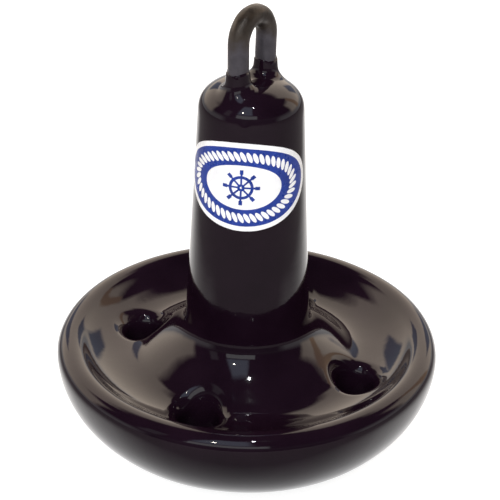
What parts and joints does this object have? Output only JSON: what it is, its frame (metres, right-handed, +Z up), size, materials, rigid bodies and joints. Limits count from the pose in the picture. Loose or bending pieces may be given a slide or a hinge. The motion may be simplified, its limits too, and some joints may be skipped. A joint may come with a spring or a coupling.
{
  "type": "mushroom boat anchor",
  "caption": "Mushroom boat anchor: heavy round cup with drain holes on a tapered shank, dipped in glossy black vinyl, with a steel rope eye and an oval label.",
  "frame": {"origin": "centre of the flat foot under the cup, on the surface it stands on", "axes": "+Z up along the shank, from the cup to the eye; the label faces -Y, turned 7.8 degrees towards -X; the eye's plane is turned 55 degrees from +X towards +Y"},
  "size_m": [0.18, 0.18, 0.216],
  "materials": {
    "cast_iron": "rough sand-cast, unpainted",
    "black_oxide_steel": "matte dark brown-black mill scale",
    "black_vinyl": "glossy dipped",
    "printed_film": "printed, semi-gloss"
  },
  "bodies": {
    "root": {"iron_casting": "cast_iron", "eye_rod": "black_oxide_steel", "vinyl_coating": "black_vinyl", "label_film": "printed_film"}
  },
  "joints": []
}
